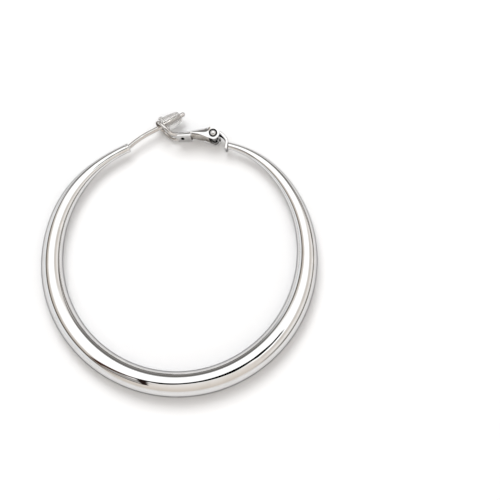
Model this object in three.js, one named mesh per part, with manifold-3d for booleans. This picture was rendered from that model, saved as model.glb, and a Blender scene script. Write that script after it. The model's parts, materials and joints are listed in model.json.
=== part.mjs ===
// A graduated tubular hoop earring with a hinged clip and a clear ear nut.
// Millimetres, +Z up. The hoop lies on its side: its plane is level, with the clip towards +Y.
// Everything is first laid out from the hoop's centre and then set down on the ground.

import * as THREE from "three";
import { mergeVertices } from "three/addons/utils/BufferGeometryUtils.js";
import Module from "manifold-3d";

// The hoop's tube
const hoopRadius = 24.2; // to the tube's middle, opposite the clip
const tubeFattest = 4.66; // diameter opposite the clip
const tubeSides = 24;
const tubeStep = 2.8; // degrees of turn from one ring of points to the next

// The tube's course. turn: degrees from the fattest place, positive towards +X.
// reach: share of hoopRadius. girth: share of tubeFattest.
const tubeCourse = [
  { turn: -154.3, reach: 0.914, girth: 0.34 },
  { turn: -146, reach: 0.92, girth: 0.37 },
  { turn: -136, reach: 0.93, girth: 0.45 },
  { turn: -120, reach: 0.943, girth: 0.645 },
  { turn: -100, reach: 0.953, girth: 0.785 },
  { turn: -75, reach: 0.969, girth: 0.9 },
  { turn: -45, reach: 0.986, girth: 0.955 },
  { turn: 0, reach: 1, girth: 1 },
  { turn: 45, reach: 0.982, girth: 0.97 },
  { turn: 75, reach: 0.962, girth: 0.87 },
  { turn: 100, reach: 0.948, girth: 0.71 },
  { turn: 120, reach: 0.94, girth: 0.55 },
  { turn: 138, reach: 0.933, girth: 0.4 },
  { turn: 148, reach: 0.92, girth: 0.32 },
  { turn: 157, reach: 0.9, girth: 0.27 },
];

// The cup that closes the tube's left end, and the ear post
const cupLip = 0.06; // stands proud of the tube all round
const cupLength = 0.5;
const cupEdge = 0.18; // rounding of its outer edge
const postDiameter = 0.86;
const postSides = 14;
const postSteps = 30;
const postRise = 43; // degrees from +X where it leaves the cup
const postPitch = 29.6; // degrees from +X where it is straight
const postRootPull = 0.5; // how far each end's direction is kept, as a share of the bend's chord
const postLoopPull = 0.24;
const postPastLoop = 5.55;
const postGrooveDepth = 0.1;
const postGrooveWidth = 0.26;
const postGrooveSlope = 0.3; // share of the groove's width
const postGrooveFromTip = 1.05;

// The hinge: its pin's place from the tube's right end, and the lug between the clip's ears
const hingeBack = 2.36;
const hingeRise = 1.81;
const lugThickness = 0.5;
const lugWidth = 2.3;
const knuckleRadius = 0.72;
const rivetDiameter = 0.7;
const rivetHeadDiameter = 1.55;
const rivetHeadHeight = 0.26;
const rivetHeadRim = 0.35; // the upright part of the head's height, as a share
const hingeClearance = 0.05;
const discSides = 28;

// The lug's middle line, from the knuckle to the plate over the tube's right end.
// side: share of hingeBack. rise: share of hingeRise.
const lugFromHinge = [{ side: 0.445, rise: 0.21 }];
const lugFromEnd = [
  { side: -0.2, rise: 0.84 },
  { side: 0.025, rise: 0.343 },
  { side: -0.01, rise: -0.07 },
  { side: -0.03, rise: -0.514 },
];

// The clip: a channel strip, with its loop round the post
const clipReach = 10.36; // from the hinge to where the post goes through the loop
const clipRise = 9.45; // degrees above -X from the hinge to that place
const stripLength = 6.6;
const stripWidth = 4.2;
const stripWall = 0.3;
const stripEnd = 0.45; // solid metal at the loop's end
const earRadius = 1.16;
const coverEnd = 1.15; // the top plate stops this far from the hinge, clear of the lug
const loopWire = 0.62;
const loopWidth = 4.78;
const loopTurn = 1.3; // how far the round end runs back
const loopPostGap = 0.06;
const loopAhead = 0.3; // the loop's round end lies this far along the post
const loopRoot = 0.96; // where its wire starts inside the strip, as a share of stripLength
const loopNeck = 1.04; // where it has left the strip
const loopElbow = 1.17; // where it bends towards the post
const loopElbowRise = 0.14; // above the hinge's level
const loopTurnEnd = 80; // degrees that the round end turns each way
const loopTurnStep = 20;
const loopSteps = 60;
const loopSides = 10;
const neckWidth = 3.7;
const stripPieces = 18;
const earPieces = 24;

// The strip's side outline, from the hinge to the loop.
// along: share of stripLength. top and bottom: shares of earRadius.
const stripOutline = [
  { along: 0, top: 1, bottom: -1 },
  { along: 0.15, top: 0.975, bottom: -0.69 },
  { along: 0.41, top: 0.85, bottom: -0.1 },
  { along: 0.62, top: 0.6, bottom: 0.1 },
  { along: 1, top: 0.29, bottom: -0.09 },
];

// The folded plate under the strip, and the leaf spring that it keeps
const keeperLength = 2.4;
const keeperDrop = 0.4; // its underside is this far below the hinge's level
const keeperHoleLength = 0.7;
const keeperHoleWidth = 1.54;
const keeperHoleFromLoop = 0.85;
const leafThickness = 0.12;
const leafWidth = 2.9;
const leafLift = 0.06; // clear of the plate
const leafRoot = 0.85; // its fixed end is this far from the strip's end
const leafSag = 0.52; // how far its free end hangs down to the knuckle
const leafBend = 0.3; // share of the sag at the middle of its free part
const leafEnd = 0.9; // its free end is this far from the hinge

// The clear nut, measured along the post from the loop
const nutStart = 0.76;
const nutLength = 3.84;
const nutFlangeDiameter = 3.4;
const nutFlangeThickness = 0.94;
const nutFlangeRound = 0.35;
const nutBodyDiameter = 2.75;
const nutNoseDiameter = 1.45;
const nutNoseTurn = 80; // degrees that its round side turns towards the nose
const nutSides = 32;
const nutBoreClearance = 0.05;

const steel = new THREE.MeshStandardMaterial({ color: 0xdadadc, roughness: 0.1, metalness: 1 });
const springSteel = new THREE.MeshStandardMaterial({ color: 0xb9b2aa, roughness: 0.3, metalness: 1 });
const clearPlastic = new THREE.MeshStandardMaterial({ color: 0xe9e9ea, roughness: 0.15, metalness: 0 });

const wasm = await Module();
wasm.setup();

const radians = THREE.MathUtils.degToRad;
const pinAxis = new THREE.Vector3(0, 0, 1);

// A direction in the hoop's plane, so many degrees from +X.
function heading(degrees) {
  return new THREE.Vector3(Math.cos(radians(degrees)), Math.sin(radians(degrees)), 0);
}

// A point moved by distances along given directions.
function moved(point, ...steps) {
  const place = point.clone();
  for (const [direction, distance] of steps) place.addScaledVector(direction, distance);
  return place;
}

// A manifold solid of a closed three.js geometry.
function solidOf(geometry) {
  const bare = geometry.clone();
  bare.deleteAttribute("normal");
  bare.deleteAttribute("uv");
  const merged = mergeVertices(bare, 1e-4);
  return new wasm.Manifold(
    new wasm.Mesh({
      numProp: 3,
      vertProperties: new Float32Array(merged.attributes.position.array),
      triVerts: new Uint32Array(merged.index.array),
    }),
  );
}

// A three.js geometry of a manifold solid.
function geometryOf(solid) {
  const { vertProperties, triVerts } = solid.getMesh();
  const geometry = new THREE.BufferGeometry();
  geometry.setAttribute("position", new THREE.BufferAttribute(vertProperties, 3));
  geometry.setIndex(new THREE.BufferAttribute(triVerts, 1));
  const flat = geometry.toNonIndexed();
  flat.computeVertexNormals();
  return flat;
}

// One solid of several that run into each other.
function joined(geometries) {
  return geometries.map(solidOf).reduce((whole, next) => whole.add(next));
}

function namedMesh(name, geometry, material) {
  const mesh = new THREE.Mesh(geometry, material);
  mesh.name = name;
  return mesh;
}

// A closed form through rings of points that run anticlockwise about the way they follow.
function loft(rings) {
  const sides = rings[0].length;
  const faces = [];
  for (let ring = 0; ring + 1 < rings.length; ring += 1) {
    for (let side = 0; side < sides; side += 1) {
      const near = ring * sides;
      const far = near + sides;
      const next = (side + 1) % sides;
      faces.push(near + side, near + next, far + next);
      faces.push(near + side, far + next, far + side);
    }
  }
  const last = (rings.length - 1) * sides;
  for (let side = 1; side + 1 < sides; side += 1) {
    faces.push(0, side + 1, side);
    faces.push(last, last + side, last + side + 1);
  }
  const geometry = new THREE.BufferGeometry().setFromPoints(rings.flat());
  geometry.setIndex(faces);
  return geometry;
}

// A turned piece: profile points are (radius, distance along the axis) from the base.
function turned(profile, base, axis, segments) {
  const points = profile.map(([radius, along]) => new THREE.Vector2(radius, along));
  const geometry = new THREE.LatheGeometry(points, segments);
  const turn = new THREE.Quaternion().setFromUnitVectors(new THREE.Vector3(0, 1, 0), axis);
  geometry.applyQuaternion(turn);
  geometry.translate(base.x, base.y, base.z);
  return geometry;
}

// Points of a quarter round in a profile, from one angle to another in degrees.
function rounded(radius, along, size, from, to, pieces = 4) {
  const points = [];
  for (let i = 0; i <= pieces; i += 1) {
    const angle = radians(from + ((to - from) * i) / pieces);
    points.push([radius + size * Math.cos(angle), along + size * Math.sin(angle)]);
  }
  return points;
}

// A round wire along a curve.
function wire(curve, diameter, steps, sides) {
  const section = new THREE.Shape().absarc(0, 0, diameter / 2, 0, 2 * Math.PI);
  return new THREE.ExtrudeGeometry(section, { steps, extrudePath: curve, curveSegments: sides });
}

// A flat outline in the hoop's plane, given a width that is centred on that plane.
function slab(outline, width, curveSegments) {
  const shape = Array.isArray(outline) ? new THREE.Shape(outline) : outline;
  const options = { depth: width, bevelEnabled: false, curveSegments };
  const geometry = new THREE.ExtrudeGeometry(shape, options);
  geometry.translate(0, 0, -width / 2);
  return geometry;
}

// The outline of a strip of one thickness that follows points in the hoop's plane.
function stripAlong(points, thickness, pieces = 24) {
  const curve = new THREE.CatmullRomCurve3(points);
  const left = [];
  const right = [];
  for (let i = 0; i <= pieces; i += 1) {
    const middle = curve.getPoint(i / pieces);
    const across = curve.getTangent(i / pieces).cross(pinAxis);
    left.push(moved(middle, [across, -thickness / 2]));
    right.push(moved(middle, [across, thickness / 2]));
  }
  return [...right, ...left.reverse()].map(({ x, y }) => new THREE.Vector2(x, y));
}

// A value from a table's column, smoothly between its rows.
function column(table, at, value) {
  const places = table.map((row) => row[at]);
  const values = table.map((row) => row[value]);
  const between = new THREE.CubicInterpolant(places, values, 1);
  return (place) => between.evaluate(place)[0];
}

const reachAt = column(tubeCourse, "turn", "reach");
const girthAt = column(tubeCourse, "turn", "girth");
const leftTurn = tubeCourse[0].turn;
const rightTurn = tubeCourse.at(-1).turn;

// The tube's middle, outward direction and radius at a turn.
function tubeAt(turn) {
  const outward = heading(turn - 90);
  const middle = outward.clone().multiplyScalar(hoopRadius * reachAt(turn));
  return { outward, middle, radius: (tubeFattest * girthAt(turn)) / 2 };
}

function tube() {
  const rings = [];
  const steps = Math.ceil((rightTurn - leftTurn) / tubeStep);
  for (let i = 0; i <= steps; i += 1) {
    const { outward, middle, radius } = tubeAt(leftTurn + ((rightTurn - leftTurn) * i) / steps);
    const ring = [];
    for (let side = 0; side < tubeSides; side += 1) {
      const angle = (2 * Math.PI * side) / tubeSides;
      const out = radius * Math.cos(angle);
      const up = -radius * Math.sin(angle);
      ring.push(moved(middle, [outward, out], [pinAxis, up]));
    }
    rings.push(ring);
  }
  return loft(rings);
}

const leftEnd = tubeAt(leftTurn);
const rightEnd = tubeAt(rightTurn);
const hinge = new THREE.Vector3(rightEnd.middle.x - hingeBack, rightEnd.middle.y + hingeRise, 0);
const postAhead = heading(postPitch);
const postOutward = heading(postPitch + 90);
const crossing = moved(hinge, [heading(180 - clipRise), clipReach]);

function cup() {
  const backwards = heading(leftTurn);
  const radius = leftEnd.radius + cupLip;
  const profile = [
    [0, -cupEdge],
    ...rounded(radius - cupEdge, 0, cupEdge, -90, 0),
    [radius, cupLength - cupEdge],
    [leftEnd.radius - cupLip, cupLength],
    [0, cupLength],
  ];
  return turned(profile, leftEnd.middle, backwards, tubeSides);
}

// The post's middle line: a bend from the cup to the loop, then straight to its tip.
function postCourse() {
  const start = leftEnd.middle;
  const chord = start.distanceTo(crossing);
  const straightEnd = moved(crossing, [postAhead, postPastLoop - postDiameter]);
  const course = new THREE.CurvePath();
  course.add(
    new THREE.CubicBezierCurve3(
      start,
      moved(start, [heading(postRise), chord * postRootPull]),
      moved(crossing, [postAhead, -chord * postLoopPull]),
      crossing,
    ),
  );
  course.add(new THREE.LineCurve3(crossing, straightEnd));
  return course;
}

// The post's tip, with the groove that the nut grips.
function postTip() {
  const radius = postDiameter / 2;
  const groove = postGrooveFromTip - radius;
  const neck = radius - postGrooveDepth;
  const profile = [
    [0, -postGrooveFromTip - postGrooveWidth],
    [radius, -postGrooveFromTip - postGrooveWidth],
    [radius, -groove - postGrooveWidth],
    [neck, -groove - postGrooveWidth * (1 - postGrooveSlope)],
    [neck, -groove - postGrooveWidth * postGrooveSlope],
    [radius, -groove],
    ...rounded(0, 0, radius, 0, 90, 6),
  ];
  profile.at(-1)[0] = 0;
  const ballMiddle = moved(crossing, [postAhead, postPastLoop - radius]);
  return turned(profile, ballMiddle, postAhead, postSides);
}

function lugOutline() {
  const placed = (from) => ({ side, rise }) =>
    new THREE.Vector3(from.x + side * hingeBack, from.y + rise * hingeRise, 0);
  const top = new THREE.Vector3(hinge.x, hinge.y + knuckleRadius - lugThickness / 2, 0);
  const nearHinge = lugFromHinge.map(placed(hinge));
  const nearEnd = lugFromEnd.map(placed(rightEnd.middle));
  return stripAlong([top, ...nearHinge, ...nearEnd], lugThickness);
}

function disc(radius, middle, width) {
  const profile = [
    [0, -width / 2],
    [radius, -width / 2],
    [radius, width / 2],
    [0, width / 2],
  ];
  return turned(profile, middle, pinAxis, discSides);
}

function hoop() {
  const knuckle = disc(knuckleRadius, hinge, lugWidth);
  const metal = joined([
    tube(),
    cup(),
    wire(postCourse(), postDiameter, postSteps, postSides),
    postTip(),
    slab(lugOutline(), lugWidth),
    knuckle,
  ]);
  const bore = disc(rivetDiameter / 2 + hingeClearance, hinge, 2 * lugWidth);
  return namedMesh("hoop", geometryOf(metal.subtract(solidOf(bore))), steel);
}

const stripTopAt = column(stripOutline, "along", "top");
const stripBottomAt = column(stripOutline, "along", "bottom");
const stripShares = Array.from({ length: stripPieces }, (_, i) => (i + 1) / stripPieces);
const keeperShare = 1 - keeperLength / stripLength;
const hollowShare = 1 - stripEnd / stripLength;

// A point of the strip's side, at a share of its length and a height above the hinge's level.
function onStrip(along, height) {
  return new THREE.Vector2(hinge.x - along * stripLength, hinge.y + height);
}

// The strip's side: a round ear at the hinge, running out to the loop over the folded plate.
function stripSide() {
  const shape = new THREE.Shape();
  shape.absarc(hinge.x, hinge.y, earRadius, -Math.PI / 2, Math.PI / 2);
  for (const along of stripShares) {
    const { x, y } = onStrip(along, earRadius * stripTopAt(along));
    shape.lineTo(x, y);
  }
  const corners = [onStrip(1, -keeperDrop), onStrip(keeperShare, -keeperDrop)];
  const under = stripShares.filter((along) => along < keeperShare).reverse();
  corners.push(...under.map((along) => onStrip(along, earRadius * stripBottomAt(along))));
  for (const { x, y } of corners) shape.lineTo(x, y);
  return shape;
}

// The hollow of the channel: open below and around the hinge, closed by the folded plate.
function channelHollow() {
  const beyond = -2 * earRadius;
  const open = beyond / stripLength;
  const floor = stripWall - keeperDrop;
  const cover = coverEnd / stripLength;
  const shares = [cover, ...stripShares.filter((along) => along > cover && along < hollowShare)];
  const ceiling = [...shares, hollowShare];
  const outline = [
    onStrip(hollowShare, floor),
    onStrip(keeperShare, floor),
    onStrip(keeperShare, beyond),
    onStrip(open, beyond),
    onStrip(open, -beyond),
    onStrip(cover, -beyond),
    ...ceiling.map((along) => onStrip(along, earRadius * stripTopAt(along) - stripWall)),
  ];
  return slab(outline, stripWidth - 2 * stripWall);
}

// The loop's wire: from the strip's end, round the post and back.
function loopCourse() {
  const half = (loopWidth - loopWire) / 2;
  const neckHalf = (neckWidth - loopWire) / 2;
  const neckHeight = (earRadius * stripTopAt(1) - keeperDrop) / 2;
  const root = onStrip(loopRoot, neckHeight);
  const neck = onStrip(loopNeck, neckHeight);
  const elbow = onStrip(loopElbow, loopElbowRise);
  const clear = (postDiameter + loopWire) / 2 + loopPostGap;
  const farEnd = moved(crossing, [postAhead, loopAhead], [postOutward, clear]);
  const bend = new THREE.Vector3(elbow.x, elbow.y, 0);
  const back = bend.clone().sub(farEnd);
  const length = back.length();
  back.normalize();
  const side = [
    new THREE.Vector3(root.x, root.y, neckHalf),
    new THREE.Vector3(neck.x, neck.y, neckHalf),
    moved(bend, [pinAxis, (half + neckHalf) / 2]),
    moved(farEnd, [back, (length + loopTurn) / 2], [pinAxis, half]),
  ];
  const turns = [];
  for (let angle = loopTurnEnd; angle >= -loopTurnEnd; angle -= loopTurnStep) {
    const run = loopTurn * (1 - Math.cos(radians(angle)));
    turns.push(moved(farEnd, [back, run], [pinAxis, half * Math.sin(radians(angle))]));
  }
  const otherSide = side.map(({ x, y, z }) => new THREE.Vector3(x, y, -z)).reverse();
  return new THREE.CatmullRomCurve3([...side, ...turns, ...otherSide]);
}

// The cutter of the oval hole through the folded plate, from just below it.
function keeperHole() {
  const outline = new THREE.Shape().absellipse(0, 0, keeperHoleLength / 2, keeperHoleWidth / 2);
  const depth = 2 * stripWall + leafLift / 2;
  const cutter = new THREE.ExtrudeGeometry(outline, { depth, bevelEnabled: false });
  cutter.rotateX(-Math.PI / 2);
  const { x, y } = onStrip(1 - keeperHoleFromLoop / stripLength, -keeperDrop - stripWall);
  return cutter.translate(x, y, 0);
}

function clipLever() {
  const side = slab(stripSide(), stripWidth, earPieces);
  const channel = solidOf(side).subtract(solidOf(channelHollow()));
  const metal = channel.add(solidOf(wire(loopCourse(), loopWire, loopSteps, loopSides)));
  const bore = disc(rivetDiameter / 2 + hingeClearance, hinge, 2 * stripWidth);
  const cut = metal.subtract(solidOf(bore)).subtract(solidOf(keeperHole()));
  return namedMesh("clip_lever", geometryOf(cut), steel);
}

// The leaf lies on the folded plate and reaches down beside the knuckle.
function springLeaf() {
  const level = -keeperDrop + stripWall + leafLift + leafThickness / 2;
  const end = leafEnd / stripLength;
  const at = (along, height) => {
    const { x, y } = onStrip(along, height);
    return new THREE.Vector3(x, y, 0);
  };
  const points = [
    at(1 - leafRoot / stripLength, level),
    at(keeperShare, level),
    at((keeperShare + end) / 2, level - leafSag * leafBend),
    at(end, level - leafSag),
  ];
  return namedMesh("spring_leaf", slab(stripAlong(points, leafThickness), leafWidth), springSteel);
}

// The rivet: a shank and a low domed head outside each ear.
function hingeRivet() {
  const ear = stripWidth / 2 + hingeClearance;
  const shank = rivetDiameter / 2;
  const head = rivetHeadDiameter / 2;
  const dome = rounded(0, 0, 1, 0, 90, 5).map(([out, up]) => [
    head * out,
    ear + rivetHeadHeight * (rivetHeadRim + (1 - rivetHeadRim) * up),
  ]);
  dome.at(-1)[0] = 0;
  const upperHalf = [[shank, ear], [head, ear], ...dome];
  const lowerHalf = upperHalf.map(([radius, along]) => [radius, -along]).reverse();
  const profile = [...lowerHalf, ...upperHalf];
  return namedMesh("hinge_rivet", turned(profile, hinge, pinAxis, discSides), steel);
}

// The nut: a rounded flange and a bullet body, drilled for the post.
function earNut() {
  const bore = postDiameter / 2 + nutBoreClearance;
  const flange = nutFlangeDiameter / 2 - nutFlangeRound;
  const body = nutBodyDiameter / 2;
  const nose = nutNoseDiameter / 2;
  const run = nutLength - nutFlangeThickness;
  const ogive = rounded(0, 0, 1, 0, nutNoseTurn, 8).map(([out, up]) => [
    nose + (body - nose) * out,
    nutFlangeThickness + run * up,
  ]);
  const profile = [
    [bore, 0],
    ...rounded(flange, nutFlangeRound, nutFlangeRound, -90, 0),
    ...rounded(flange, nutFlangeThickness - nutFlangeRound, nutFlangeRound, 0, 90),
    ...ogive,
    [nose, nutLength],
    [bore, nutLength],
    [bore, 0],
  ];
  const start = moved(crossing, [postAhead, nutStart]);
  return namedMesh("ear_nut", turned(profile, start, postAhead, nutSides), clearPlastic);
}

const earring = new THREE.Group();
earring.add(hoop(), clipLever(), springLeaf(), hingeRivet(), earNut());

// Set down: the middle of the box's underside is the origin.
const box = new THREE.Box3().setFromObject(earring, true);
const foot = box.getCenter(new THREE.Vector3()).setZ(box.min.z);
earring.position.copy(foot).negate();

export default earring;
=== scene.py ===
"""A polished tubular hoop earring with a hinged clip and a clear ear nut, lying on a pale table.

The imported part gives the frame, the hinge and the way that the nut slides. Every piece is modelled
in metres in that frame and rides on the body that carries it.
"""

import json
import logging
import math
from collections.abc import Callable, Iterator, Sequence
from contextlib import contextmanager
from dataclasses import dataclass, field
from enum import Enum
from itertools import pairwise

import bmesh
import bpy
import numpy as np
from mathutils import Matrix, Quaternion, Vector


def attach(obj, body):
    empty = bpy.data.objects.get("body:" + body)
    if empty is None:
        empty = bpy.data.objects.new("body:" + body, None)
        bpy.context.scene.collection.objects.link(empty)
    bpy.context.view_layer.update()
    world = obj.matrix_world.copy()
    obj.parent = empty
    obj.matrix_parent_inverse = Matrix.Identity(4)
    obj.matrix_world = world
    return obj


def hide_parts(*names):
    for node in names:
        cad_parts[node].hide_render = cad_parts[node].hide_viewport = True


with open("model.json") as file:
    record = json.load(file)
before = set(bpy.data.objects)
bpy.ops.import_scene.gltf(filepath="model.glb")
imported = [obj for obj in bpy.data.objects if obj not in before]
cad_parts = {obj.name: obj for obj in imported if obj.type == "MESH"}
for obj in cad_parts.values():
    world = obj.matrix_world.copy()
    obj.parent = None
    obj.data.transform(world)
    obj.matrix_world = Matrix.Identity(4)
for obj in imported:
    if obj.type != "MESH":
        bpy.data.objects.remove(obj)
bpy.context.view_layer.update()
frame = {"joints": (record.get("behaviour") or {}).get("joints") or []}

MM = 0.001
UP = Vector((0, 0, 1))
# Two places nearer than this, in metres, are one place.
TOUCHING = 1e-6
# Two shares of a way nearer than this are one share, and a way's direction is read over it.
NEAR = 1e-4
# A turned form starts from a flat disc, this share of its radius.
DISC_SHARE = 0.5
# Drawn wire is shaded smoothly up to this angle, in degrees.
WIRE_SHADING = 50
Colour = tuple[float, float, float, float]
log = logging.getLogger("earring")


class Body(Enum):
    """The rigid bodies that the pieces ride on."""

    HOOP = "hoop"
    CLIP = "clip"
    NUT = "nut"


class Slot(Enum):
    """The record's material slots."""

    POLISHED = "polished_metal"
    SPRING = "spring_metal"
    CLEAR = "clear_plastic"


class Side(Enum):
    """The two sides of the clip, along Z."""

    UPPER = 1
    LOWER = -1


def heading(degrees: float) -> Vector:
    """Returns the level direction so many degrees from +X."""
    return Vector((math.cos(math.radians(degrees)), math.sin(math.radians(degrees)), 0))


def eased(value: float, low: float, high: float) -> float:
    """Returns an eased rise from 0 to 1 as a value goes from low to high."""
    share = min(max((value - low) / (high - low), 0), 1)
    return share * share * (3 - 2 * share)


class SmoothTable:
    """Values that run between the rows of a table with no jump in slope or curvature.

    Args:
        places: where the rows stand, in rising order.
        rows: the values of each row.
    """

    def __init__(self, places: Sequence[float], rows: Sequence[Sequence[float]]) -> None:
        """Works out the curvature at each row."""
        self.places = np.array(places, float)
        self.rows = np.array(rows, float)
        steps = np.diff(self.places)
        count = len(self.places)
        matrix = np.eye(count)
        right = np.zeros_like(self.rows)
        for i in range(1, count - 1):
            matrix[i, i - 1 : i + 2] = steps[i - 1], 2 * (steps[i - 1] + steps[i]), steps[i]
            rise = (self.rows[i + 1] - self.rows[i]) / steps[i]
            right[i] = 6 * (rise - (self.rows[i] - self.rows[i - 1]) / steps[i - 1])
        self.curvature = np.linalg.solve(matrix, right)

    def at(self, place: float) -> np.ndarray:
        """Returns the values at a place.

        Args:
            place: where to read the table.

        Returns:
            One value for each column.
        """
        i = int(np.clip(np.searchsorted(self.places, place) - 1, 0, len(self.places) - 2))
        step = self.places[i + 1] - self.places[i]
        after = (place - self.places[i]) / step
        before = 1 - after
        bend = (before**3 - before) * self.curvature[i] + (after**3 - after) * self.curvature[i + 1]
        return before * self.rows[i] + after * self.rows[i + 1] + bend * step**2 / 6


class Course:
    """A smooth line through points, read by the share of its way.

    Args:
        points: the points that it goes through.
    """

    def __init__(self, points: Sequence[Vector]) -> None:
        """Spaces the points by their distance."""
        gaps = [math.sqrt((b - a).length) for a, b in pairwise(points)]
        places = np.concatenate([[0], np.cumsum(gaps)]) / sum(gaps)
        self.table = SmoothTable(places, [tuple(point) for point in points])

    def at(self, share: float) -> Vector:
        """Returns the point at a share of the way."""
        return Vector(self.table.at(share))

    def ahead(self, share: float) -> Vector:
        """Returns the direction of the line at a share of the way."""
        return (self.at(min(share + NEAR, 1)) - self.at(max(share - NEAR, 0))).normalized()


class Bend(Course):
    """A curve from one point to another, with a pull at each end.

    Args:
        start: where it leaves.
        first_pull: the point that it leaves towards.
        last_pull: the point that it arrives from.
        end: where it arrives.
    """

    def __init__(self, start: Vector, first_pull: Vector, last_pull: Vector, end: Vector) -> None:
        """Keeps the four points."""
        self.points = start, first_pull, last_pull, end

    def at(self, share: float) -> Vector:
        """Returns the point at a share of the way."""
        start, first_pull, last_pull, end = self.points
        left = 1 - share
        ends = start * left**3 + end * share**3
        return ends + (first_pull * left + last_pull * share) * 3 * left * share


@dataclass(frozen=True)
class Ring:
    """One section of a swept or turned form: its middle, the way ahead and its size."""

    middle: Vector
    ahead: Vector
    size: float


def rings_along(course: Course, size: float, count: int) -> list[Ring]:
    """Returns evenly spaced rings of one size along a course."""
    shares = [i / (count - 1) for i in range(count)]
    return [Ring(course.at(share), course.ahead(share), size) for share in shares]


def turned_rings(
    base: Vector, axis: Vector, profile: Sequence[tuple[float, float]]
) -> list[Ring]:
    """Returns the rings of a turned form.

    Args:
        base: where the axis starts.
        axis: the way of the axis.
        profile: pairs of radius and distance along the axis.

    Returns:
        One ring for each pair.
    """
    return [Ring(base + axis * along, axis, radius) for radius, along in profile]


def quarter_round(
    radius: float, along: float, size: float, start: float, end: float, pieces: int = 6
) -> list[tuple[float, float]]:
    """Returns profile points on a rounded edge.

    Args:
        radius: radius of the rounding's middle from the axis.
        along: place of the rounding's middle along the axis.
        size: radius of the rounding.
        start: first angle in degrees, 0 outwards and 90 along the axis.
        end: last angle.
        pieces: how many pieces the rounding has.

    Returns:
        Pairs of radius and distance along the axis.
    """
    points = []
    for i in range(pieces + 1):
        angle = math.radians(start + (end - start) * i / pieces)
        points.append((radius + size * math.cos(angle), along + size * math.sin(angle)))
    return points


def deselect() -> None:
    """Deselects every object."""
    bpy.ops.object.select_all(action="DESELECT")


def take_up(piece: bpy.types.Object) -> None:
    """Makes a piece the only selected and the active one.

    Args:
        piece: the piece.
    """
    deselect()
    piece.select_set(True)
    bpy.context.view_layer.objects.active = piece


@contextmanager
def editing(piece: bpy.types.Object) -> Iterator[None]:
    """Works on a piece in edit mode.

    Args:
        piece: the piece.
    """
    take_up(piece)
    bpy.ops.object.mode_set(mode="EDIT")
    try:
        yield
    finally:
        bpy.ops.object.mode_set(mode="OBJECT")


def select_edges(piece: bpy.types.Object, test: Callable[[Vector, Vector], bool]) -> None:
    """Selects the edges of a piece in edit mode by the places of their two ends.

    Args:
        piece: the piece in edit mode.
        test: says of an edge's two ends whether it is selected.
    """
    bpy.ops.mesh.select_mode(type="EDGE")
    bpy.ops.mesh.select_all(action="DESELECT")
    work = bmesh.from_edit_mesh(piece.data)
    for edge in work.edges:
        if test(edge.verts[0].co, edge.verts[1].co):
            edge.select_set(True)
    bmesh.update_edit_mesh(piece.data)


def turn_selected(turn: Quaternion, middle: Vector) -> None:
    """Turns what is selected about a point.

    Args:
        turn: the turn.
        middle: the point that stays.
    """
    tiny = 1e-7
    for axis, angle in zip("XYZ", turn.to_euler("XYZ")):
        if abs(angle) > tiny:
            bpy.ops.transform.rotate(value=-angle, orient_axis=axis, center_override=middle)


def named(name: str) -> bpy.types.Object:
    """Names the new active piece and settles its place into its mesh.

    Args:
        name: the piece's name.

    Returns:
        The piece.
    """
    piece = bpy.context.object
    piece.name = piece.data.name = name
    bpy.ops.object.transform_apply(location=True, rotation=True, scale=True)
    return piece


def extruded_through(
    piece: bpy.types.Object, rings: Sequence[Ring], bored: bool = False
) -> bpy.types.Object:
    """Extrudes a piece's only section through rings, turning and resizing it at each.

    Args:
        piece: the piece, which is its first section.
        rings: its sections, in order.
        bored: whether the last ring meets the first.

    Returns:
        The closed piece.
    """
    with editing(piece):
        bpy.ops.mesh.select_all(action="SELECT")
        for before, after in pairwise(rings):
            way = after.middle - before.middle
            bpy.ops.mesh.extrude_region_move(TRANSFORM_OT_translate={"value": way})
            turn_selected(before.ahead.rotation_difference(after.ahead), after.middle)
            ratio = after.size / before.size
            if ratio != 1:
                bpy.ops.transform.resize(value=(ratio,) * 3, center_override=after.middle)
        bpy.ops.mesh.select_all(action="SELECT")
        if bored:
            bpy.ops.mesh.remove_doubles(threshold=TOUCHING)
        bpy.ops.mesh.normals_make_consistent(inside=False)
    return piece


def swept(name: str, rings: Sequence[Ring], sides: int, bored: bool = False) -> bpy.types.Object:
    """Makes a round form by extruding a disc, or a bare circle, through rings.

    Args:
        name: the piece's name.
        rings: its sections, in order; the size of each is its radius.
        sides: how many sides it has.
        bored: whether it has a bore; its rings are then an outline, once round.

    Returns:
        The closed piece.
    """
    deselect()
    bpy.ops.mesh.primitive_circle_add(
        vertices=sides,
        radius=rings[0].size,
        fill_type="NOTHING" if bored else "NGON",
        location=rings[0].middle,
        rotation=rings[0].ahead.to_track_quat("Z", "Y").to_euler(),
    )
    return extruded_through(named(name), rings, bored)


def flat_swept(
    name: str, course: Course, thickness: float, width: float, count: int
) -> bpy.types.Object:
    """Makes a strip that stands on its edge along a level course.

    Args:
        name: the piece's name.
        course: its middle line.
        thickness: across the strip, level.
        width: along Z.
        count: how many sections it has.

    Returns:
        The closed piece.
    """
    rings = rings_along(course, 1.0, count)
    ahead = rings[0].ahead
    stand = Matrix((UP.cross(ahead), UP, ahead)).transposed()
    deselect()
    bpy.ops.mesh.primitive_plane_add(size=1, location=rings[0].middle, rotation=stand.to_euler())
    bpy.context.object.scale = (thickness, width, 1)
    return extruded_through(named(name), rings)


def apply_modifier(piece: bpy.types.Object, kind: str, **settings: object) -> None:
    """Adds a modifier to a piece and applies it.

    Args:
        piece: the piece.
        kind: the modifier's type.
        **settings: its settings by name.
    """
    take_up(piece)
    modifier = piece.modifiers.new(kind.lower(), kind)
    for key, value in settings.items():
        setattr(modifier, key, value)
    bpy.ops.object.modifier_apply(modifier=modifier.name)


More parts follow.
